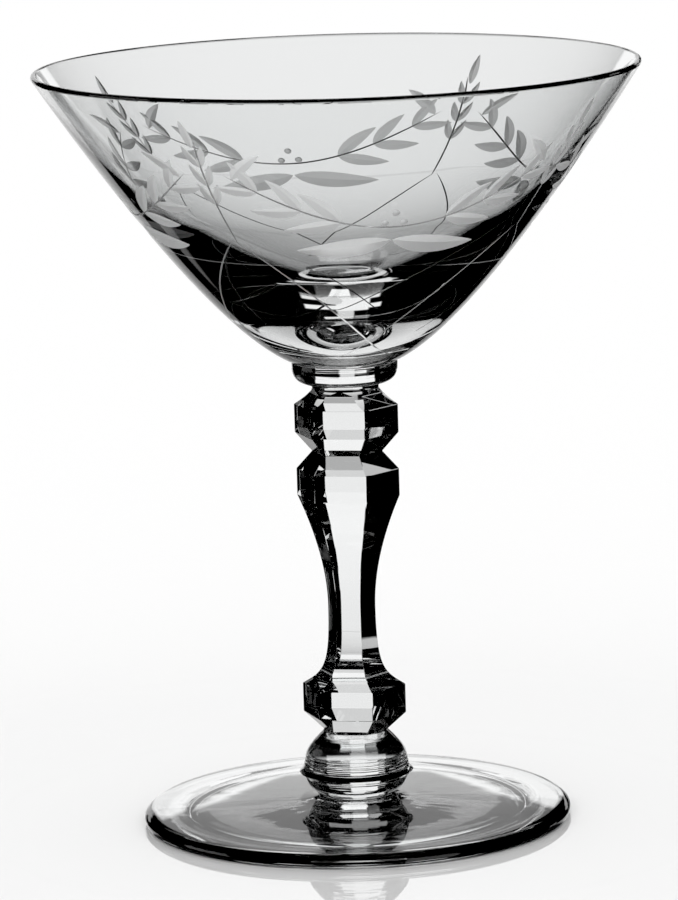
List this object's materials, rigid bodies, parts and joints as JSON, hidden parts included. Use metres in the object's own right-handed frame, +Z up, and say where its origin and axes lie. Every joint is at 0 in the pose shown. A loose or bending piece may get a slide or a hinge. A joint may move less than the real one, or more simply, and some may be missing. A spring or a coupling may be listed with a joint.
{
  "type": "sherbet glass",
  "caption": "Clear crystal sherbet glass: wide cupped bowl with a thick floor on a collar, six-sided cut baluster stem, turned ball knop and round foot.",
  "frame": {"origin": "middle of the plane that the foot rests on, on the glass's turning axis", "axes": "+Z up along the turning axis from the foot to the rim; the picture looks along +Y with +X to the right"},
  "size_m": [0.098, 0.098, 0.124],
  "materials": {
    "foot_crystal": "fire-polished clear crystal",
    "turned_crystal": "tooled and fire-polished clear crystal",
    "cut_crystal": "cut and polished clear crystal",
    "bowl_crystal": "blown clear crystal with grey cutting"
  },
  "bodies": {
    "root": {"foot": "foot_crystal", "ball_knop": "turned_crystal", "faceted_stem": "cut_crystal", "merese": "turned_crystal", "bowl": "bowl_crystal"}
  },
  "joints": []
}
